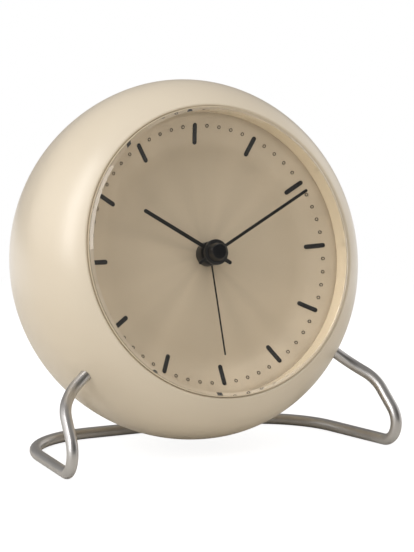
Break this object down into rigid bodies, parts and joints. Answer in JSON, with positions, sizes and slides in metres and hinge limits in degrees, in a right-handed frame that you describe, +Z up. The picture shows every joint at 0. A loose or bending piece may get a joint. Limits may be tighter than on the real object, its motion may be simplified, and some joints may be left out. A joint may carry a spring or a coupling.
{
  "type": "table alarm clock",
  "caption": "Ball-shaped quartz table alarm clock leaning back on one bent wire stand, with hour, minute and alarm hands, rear setting knobs, alarm slider and battery door.",
  "frame": {"origin": "on the table, below the middle of the clock's box", "axes": "+Z up from the table, the dial faces -Y and leans back 14 degrees, +X towards 3 o'clock"},
  "size_m": [0.1134, 0.0809, 0.1124],
  "materials": {
    "case_plastic": "satin moulded plastic, warm sand",
    "control_plastic": "satin moulded plastic, sand",
    "clear_glass": "flat clear glass with a polished bevel",
    "gasket_rubber": "champagne gasket",
    "surround_plastic": "glossy light champagne",
    "dial_metal": "champagne dial with a fine radial brushing under clear lacquer",
    "mark_black": "printed black",
    "mark_brown": "printed dark brown",
    "hand_black": "thin metal with a satin black coat",
    "cap_black": "glossy black",
    "wire_steel": "satin stainless steel",
    "screw_steel": "zinc plated",
    "spring_steel": "nickel plated spring strip",
    "core_iron": "soft magnetic strip",
    "carrier_plastic": "off-white moulded plastic",
    "movement_plastic": "off-white moulded plastic",
    "gear_plastic": "natural acetal",
    "gear_brass": "stamped brass",
    "magnet_dark": "sintered magnet",
    "bobbin_plastic": "dark green moulded plastic",
    "copper_wire": "enamelled copper winding",
    "board_green": "lacquered board",
    "can_metal": "bright metal can",
    "black_plastic": "black moulded plastic",
    "slider_plastic": "dark grey moulded plastic",
    "cell_sleeve": "plain printed sleeve"
  },
  "bodies": {
    "case": {"case_shell": "case_plastic", "rear_shell": "case_plastic", "crystal": "clear_glass", "crystal_gasket": "gasket_rubber", "dial_surround": "surround_plastic", "dial": "dial_metal", "hour_marks": "mark_black", "minute_marks": "mark_brown", "dial_carrier": "carrier_plastic", "dial_clamps": "spring_steel", "clamp_screws": "screw_steel", "rear_screws": "screw_steel", "movement_base": "movement_plastic", "movement_cover": "movement_plastic", "movement_screws": "screw_steel", "movement_cover_screws": "screw_steel", "stator": "core_iron", "coil_core": "core_iron", "coil_bobbin": "bobbin_plastic", "coil_winding": "copper_wire", "circuit_board": "board_green", "quartz_can": "can_metal", "control_chip": "black_plastic", "sounder": "black_plastic", "battery_tray": "control_plastic", "battery_cells": "cell_sleeve", "battery_contacts": "spring_steel", "alarm_switch_body": "black_plastic", "stand_wire": "wire_steel"},
    "minute_set": {"cannon_pinion": "gear_brass", "minute_hand": "hand_black", "hand_cap": "cap_black"},
    "hour_set": {"hour_wheel": "gear_plastic", "hour_hand": "hand_black"},
    "minute_wheel": {"minute_wheel": "gear_plastic"},
    "time_setter": {"time_arbor": "gear_plastic", "time_knob": "control_plastic"},
    "alarm_set": {"alarm_wheel": "gear_plastic", "alarm_hand": "hand_black"},
    "alarm_idler": {"alarm_idler": "gear_plastic"},
    "alarm_setter": {"alarm_arbor": "gear_plastic", "alarm_knob": "control_plastic"},
    "rotor": {"rotor_magnet": "magnet_dark", "rotor_pinion": "gear_plastic"},
    "intermediate_wheel": {"intermediate_wheel": "gear_plastic"},
    "seconds_wheel": {"seconds_wheel": "gear_plastic"},
    "third_wheel": {"third_wheel": "gear_plastic"},
    "centre_wheel": {"centre_wheel": "gear_brass"},
    "alarm_slider": {"alarm_slider": "slider_plastic"},
    "battery_door": {"battery_door": "control_plastic"}
  },
  "joints": [
    {"name": "minute_hand_turn", "type": "hinge", "parent": "case", "child": "minute_set", "pos_m": [0, -0.01957, 0.06128], "axis": [0, 0.9703, -0.2419], "continuous": true},
    {"name": "hour_hand_turn", "type": "hinge", "parent": "case", "child": "hour_set", "pos_m": [0, -0.01957, 0.06128], "axis": [0, 0.9703, -0.2419], "continuous": true},
    {"name": "minute_wheel_turn", "type": "hinge", "parent": "case", "child": "minute_wheel", "pos_m": [0.00919, -0.00994, 0.06682], "axis": [0, 0.9703, -0.2419], "continuous": true},
    {"name": "time_knob_turn", "type": "hinge", "parent": "case", "child": "time_setter", "pos_m": [0.01838, 0.02297, 0.06657], "axis": [0, 0.9703, -0.2419], "continuous": true},
    {"name": "alarm_hand_turn", "type": "hinge", "parent": "case", "child": "alarm_set", "pos_m": [0, -0.01957, 0.06128], "axis": [0, 0.9703, -0.2419], "continuous": true},
    {"name": "alarm_idler_turn", "type": "hinge", "parent": "case", "child": "alarm_idler", "pos_m": [-0.00919, -0.01285, 0.06755], "axis": [0, 0.9703, -0.2419], "continuous": true},
    {"name": "alarm_knob_turn", "type": "hinge", "parent": "case", "child": "alarm_setter", "pos_m": [-0.01838, 0.02297, 0.06657], "axis": [0, 0.9703, -0.2419], "continuous": true},
    {"name": "rotor_turn", "type": "hinge", "parent": "case", "child": "rotor", "pos_m": [0.00687, -0.01456, 0.04004], "axis": [0, 0.9703, -0.2419], "continuous": true},
    {"name": "intermediate_wheel_turn", "type": "hinge", "parent": "case", "child": "intermediate_wheel", "pos_m": [0.01421, -0.01332, 0.04502], "axis": [0, 0.9703, -0.2419], "continuous": true},
    {"name": "seconds_wheel_turn", "type": "hinge", "parent": "case", "child": "seconds_wheel", "pos_m": [0.00638, -0.01243, 0.04857], "axis": [0, 0.9703, -0.2419], "continuous": true},
    {"name": "third_wheel_turn", "type": "hinge", "parent": "case", "child": "third_wheel", "pos_m": [-0.0045, -0.01243, 0.04857], "axis": [0, 0.9703, -0.2419], "continuous": true},
    {"name": "centre_wheel_turn", "type": "hinge", "parent": "case", "child": "centre_wheel", "pos_m": [0, -0.00987, 0.05886], "axis": [0, 0.9703, -0.2419], "continuous": true},
    {"name": "alarm_slider_shift", "type": "slide", "parent": "case", "child": "alarm_slider", "axis": [1, 0, 0], "range_m": [-0.002, 0.002]},
    {"name": "battery_door_swing", "type": "hinge", "parent": "case", "child": "battery_door", "pos_m": [0, 0.02224, 0.02684], "axis": [-1, 0, 0], "range_deg": [0, 80]}
  ],
  "couplings": [
    {"joint": "hour_hand_turn", "follows": "minute_hand_turn", "ratio": 0.083333},
    {"joint": "minute_wheel_turn", "follows": "minute_hand_turn", "ratio": -0.33333},
    {"joint": "time_knob_turn", "follows": "minute_hand_turn", "ratio": 1},
    {"joint": "alarm_idler_turn", "follows": "alarm_hand_turn", "ratio": -3},
    {"joint": "alarm_knob_turn", "follows": "alarm_hand_turn", "ratio": 1},
    {"joint": "intermediate_wheel_turn", "follows": "rotor_turn", "ratio": -0.16667},
    {"joint": "seconds_wheel_turn", "follows": "rotor_turn", "ratio": 0.033333},
    {"joint": "third_wheel_turn", "follows": "rotor_turn", "ratio": -0.0044444},
    {"joint": "centre_wheel_turn", "follows": "rotor_turn", "ratio": 0.00055556}
  ]
}
